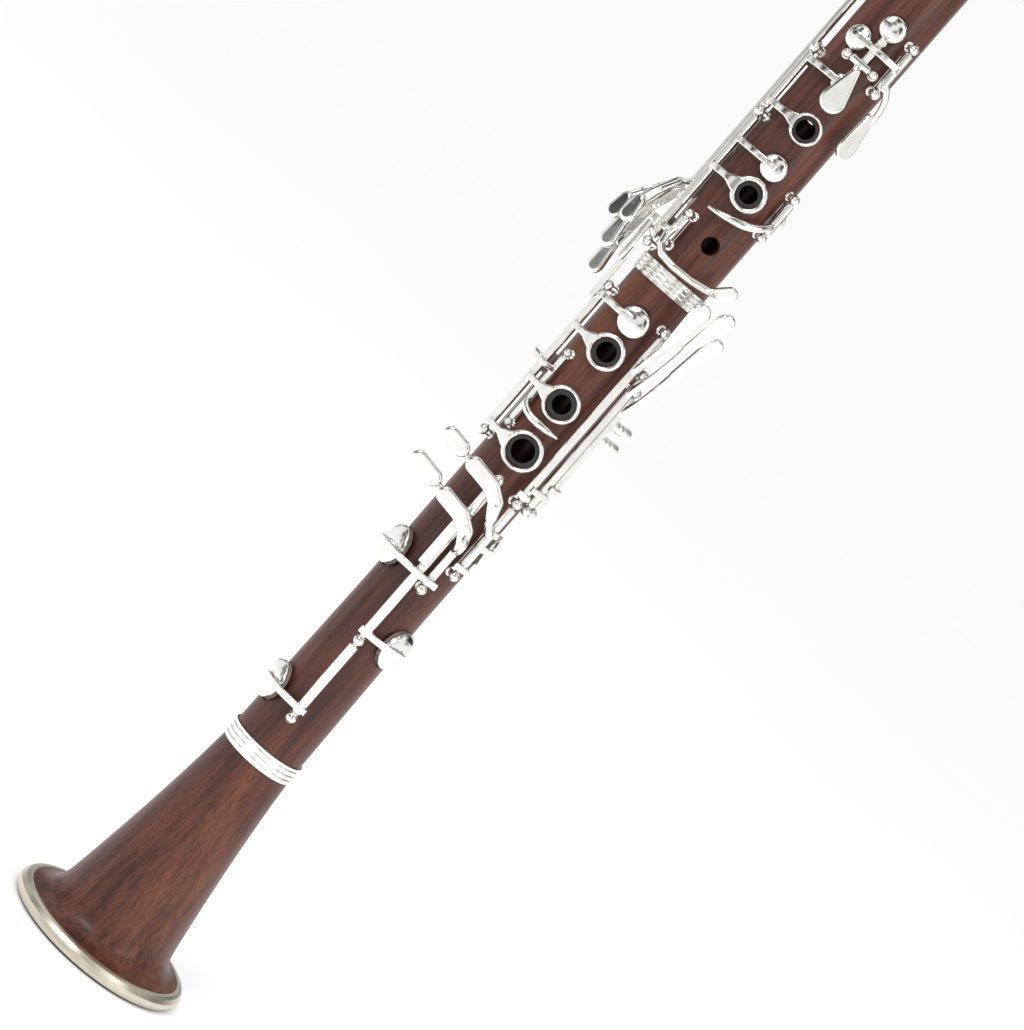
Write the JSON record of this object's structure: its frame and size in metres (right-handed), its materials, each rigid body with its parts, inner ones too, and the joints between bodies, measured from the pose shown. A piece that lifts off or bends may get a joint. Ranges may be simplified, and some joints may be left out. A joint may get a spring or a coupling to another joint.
{
  "type": "clarinet",
  "caption": "Upright wooden clarinet with a flared bell, ringed finger holes, sprung silver keywork, tuning barrel and single-reed mouthpiece.",
  "frame": {"origin": "centre of the bell rim face, which rests on the floor", "axes": "+Z along the bore to the mouthpiece tip, -Y the side of the finger holes, +X to the right of a viewer who faces them"},
  "size_m": [0.0788, 0.0788, 0.6751],
  "materials": {
    "rosewood": "oiled satin",
    "nickel": "satin",
    "silver_plate": "polished silver plate",
    "pad_skin": "matte skin",
    "cork": "matte cork",
    "ebonite": "polished",
    "cane": "matte",
    "steel": "polished"
  },
  "bodies": {
    "bell_group": {"bell": "rosewood", "bell_rim_ring": "nickel", "bell_socket_ring": "silver_plate"},
    "joints": {"lower_joint": "rosewood", "middle_socket_ring": "silver_plate", "upper_joint": "rosewood", "tenon_corks": "cork", "tone_hole_inserts": "ebonite", "lower_posts": "silver_plate", "upper_posts": "silver_plate", "hinge_rods": "steel", "needle_springs": "steel", "thumb_rest_plate": "silver_plate", "plate_screws": "steel"},
    "barrel_group": {"barrel": "rosewood", "barrel_rings": "silver_plate"},
    "mouthpiece_group": {"mouthpiece": "ebonite", "mouthpiece_cork": "cork", "reed": "cane", "ligature": "silver_plate", "ligature_screws": "silver_plate"},
    "thumb_hook": {"thumb_rest_hook": "silver_plate"},
    "upper_ring": {"upper_ring_key": "silver_plate", "upper_ring_pad": "pad_skin"},
    "middle_ring": {"middle_ring_key": "silver_plate", "middle_ring_pad": "pad_skin"},
    "lower_ring": {"lower_ring_key": "silver_plate", "lower_ring_pad": "pad_skin"},
    "thumb_ring": {"thumb_ring_key": "silver_plate"},
    "g_sharp": {"g_sharp_key": "silver_plate", "g_sharp_pad": "pad_skin"},
    "d_sharp_sliver": {"d_sharp_sliver_key": "silver_plate", "d_sharp_sliver_pad": "pad_skin"},
    "c_sharp_g_sharp": {"c_sharp_g_sharp_key": "silver_plate", "c_sharp_g_sharp_pad": "pad_skin"},
    "side_1": {"side_key_1": "silver_plate", "side_key_1_pad": "pad_skin"},
    "side_2": {"side_key_2": "silver_plate", "side_key_2_pad": "pad_skin"},
    "side_3": {"side_key_3": "silver_plate", "side_key_3_pad": "pad_skin"},
    "side_4": {"side_key_4": "silver_plate", "side_key_4_pad": "pad_skin"},
    "b_sliver": {"b_sliver_key": "silver_plate", "b_sliver_pad": "pad_skin"},
    "e_b": {"e_b_key": "silver_plate", "e_b_pad": "pad_skin"},
    "f_sharp_c_sharp": {"f_sharp_c_sharp_key": "silver_plate", "f_sharp_c_sharp_pad": "pad_skin"},
    "f_c": {"f_c_key": "silver_plate", "f_c_pad": "pad_skin"},
    "a_flat_e_flat": {"a_flat_e_flat_key": "silver_plate", "a_flat_e_flat_pad": "pad_skin"},
    "left_lever_1": {"left_lever_1": "silver_plate"},
    "left_lever_2": {"left_lever_2": "silver_plate"},
    "left_lever_3": {"left_lever_3": "silver_plate"},
    "a": {"a_key": "silver_plate", "a_pad": "pad_skin"},
    "register": {"register_key": "silver_plate", "register_pad": "pad_skin"}
  },
  "joints": [
    {"name": "bell_twist", "type": "hinge", "parent": "joints", "child": "bell_group", "pos_m": [0, 0, 0.09], "axis": [0, 0, 1], "continuous": true},
    {"name": "barrel_pull", "type": "slide", "parent": "joints", "child": "barrel_group", "axis": [0, 0, 1], "range_m": [0, 0.003]},
    {"name": "mouthpiece_twist", "type": "hinge", "parent": "barrel_group", "child": "mouthpiece_group", "pos_m": [0, 0, 0.6], "axis": [0, 0, 1], "continuous": true},
    {"name": "thumb_hook_slide", "type": "slide", "parent": "joints", "child": "thumb_hook", "axis": [0, 0, 1], "range_m": [-0.003, 0.003]},
    {"name": "upper_ring_press", "type": "hinge", "parent": "joints", "child": "upper_ring", "pos_m": [-0.01654, -0.00817, 0.42], "axis": [0, 0, 1], "range_deg": [0, 3], "stiffness_Nm_per_rad": 0.25, "springref_deg": -2.29},
    {"name": "middle_ring_press", "type": "hinge", "parent": "joints", "child": "middle_ring", "pos_m": [-0.01654, -0.00817, 0.372], "axis": [0, 0, 1], "range_deg": [0, 3]},
    {"name": "lower_ring_press", "type": "hinge", "parent": "joints", "child": "lower_ring", "pos_m": [-0.01654, -0.00817, 0.284], "axis": [0, 0, 1], "range_deg": [0, 3], "stiffness_Nm_per_rad": 0.25, "springref_deg": -2.29},
    {"name": "thumb_ring_press", "type": "hinge", "parent": "joints", "child": "thumb_ring", "pos_m": [0.0117, 0.01394, 0.419], "axis": [0, 0, 1], "range_deg": [0, 3], "stiffness_Nm_per_rad": 0.25, "springref_deg": -2.29},
    {"name": "g_sharp_press", "type": "hinge", "parent": "joints", "child": "g_sharp", "pos_m": [0.01127, -0.01442, 0.446], "axis": [0, 0, 1], "range_deg": [0, 5], "stiffness_Nm_per_rad": 0.25, "springref_deg": -2.29},
    {"name": "d_sharp_sliver_press", "type": "hinge", "parent": "joints", "child": "d_sharp_sliver", "pos_m": [0.0147, -0.0103, 0.379], "axis": [0, 0, -1], "range_deg": [0, 4], "stiffness_Nm_per_rad": 0.25, "springref_deg": -2.29},
    {"name": "c_sharp_g_sharp_press", "type": "hinge", "parent": "joints", "child": "c_sharp_g_sharp", "pos_m": [-0.0112, -0.01434, 0.35], "axis": [0, 0, 1], "range_deg": [0, 4], "stiffness_Nm_per_rad": 0.25, "springref_deg": -2.29},
    {"name": "side_1_press", "type": "hinge", "parent": "joints", "child": "side_1", "pos_m": [-0.01472, 0.0107, 0.385], "axis": [0, 0, 1], "range_deg": [0, 7], "stiffness_Nm_per_rad": 0.25, "springref_deg": -2.29},
    {"name": "side_2_press", "type": "hinge", "parent": "joints", "child": "side_2", "pos_m": [-0.01688, 0.00682, 0.4], "axis": [0, 0, 1], "range_deg": [0, 7], "stiffness_Nm_per_rad": 0.25, "springref_deg": -2.29},
    {"name": "side_3_press", "type": "hinge", "parent": "joints", "child": "side_3", "pos_m": [-0.01802, 0.00253, 0.425], "axis": [0, 0, 1], "range_deg": [0, 7], "stiffness_Nm_per_rad": 0.25, "springref_deg": -2.29},
    {"name": "side_4_press", "type": "hinge", "parent": "joints", "child": "side_4", "pos_m": [-0.0181, -0.0019, 0.435], "axis": [0, 0, 1], "range_deg": [0, 7], "stiffness_Nm_per_rad": 0.25, "springref_deg": -2.29},
    {"name": "b_sliver_press", "type": "hinge", "parent": "joints", "child": "b_sliver", "pos_m": [-0.01139, -0.0118, 0.274], "axis": [0, 0, 1], "range_deg": [0, 4], "stiffness_Nm_per_rad": 0.25, "springref_deg": -2.29},
    {"name": "e_b_press", "type": "hinge", "parent": "joints", "child": "e_b", "pos_m": [0.0003, -0.019, 0.18], "axis": [0, 0, -1], "range_deg": [0, 3], "stiffness_Nm_per_rad": 0.25, "springref_deg": -2.29},
    {"name": "f_sharp_c_sharp_press", "type": "hinge", "parent": "joints", "child": "f_sharp_c_sharp", "pos_m": [0.0003, -0.019, 0.192], "axis": [0, 0, -1], "range_deg": [0, 4], "stiffness_Nm_per_rad": 0.25, "springref_deg": -2.29},
    {"name": "f_c_press", "type": "hinge", "parent": "joints", "child": "f_c", "pos_m": [0.0054, -0.01822, 0.2], "axis": [0, 0, -1], "range_deg": [0, 3], "stiffness_Nm_per_rad": 0.25, "springref_deg": -2.29},
    {"name": "a_flat_e_flat_press", "type": "hinge", "parent": "joints", "child": "a_flat_e_flat", "pos_m": [0.01127, -0.01442, 0.218], "axis": [0, 0, -1], "range_deg": [0, 3.5], "stiffness_Nm_per_rad": 0.25, "springref_deg": -2.29},
    {"name": "left_lever_1_press", "type": "hinge", "parent": "joints", "child": "left_lever_1", "pos_m": [0.01127, -0.01442, 0.278], "axis": [0, 0, 1], "range_deg": [0, 3]},
    {"name": "left_lever_2_press", "type": "hinge", "parent": "joints", "child": "left_lever_2", "pos_m": [0.01535, -0.00997, 0.27], "axis": [0, 0, 1], "range_deg": [0, 4]},
    {"name": "left_lever_3_press", "type": "hinge", "parent": "joints", "child": "left_lever_3", "pos_m": [0.01776, -0.00443, 0.266], "axis": [0, 0, 1], "range_deg": [0, 3]},
    {"name": "a_press", "type": "hinge", "parent": "joints", "child": "a", "pos_m": [0, -0.0185, 0.4403], "axis": [1, 0, 0], "range_deg": [0, 5], "stiffness_Nm_per_rad": 0.25, "springref_deg": -2.29},
    {"name": "register_press", "type": "hinge", "parent": "joints", "child": "register", "pos_m": [0, 0.0185, 0.468], "axis": [-1, 0, 0], "range_deg": [0, 5], "stiffness_Nm_per_rad": 0.25, "springref_deg": -2.29}
  ],
  "couplings": [
    {"joint": "middle_ring_press", "follows": "lower_ring_press", "ratio": 1},
    {"joint": "left_lever_1_press", "follows": "e_b_press", "ratio": 1},
    {"joint": "left_lever_2_press", "follows": "f_sharp_c_sharp_press", "ratio": 1},
    {"joint": "left_lever_3_press", "follows": "f_c_press", "ratio": 1}
  ]
}
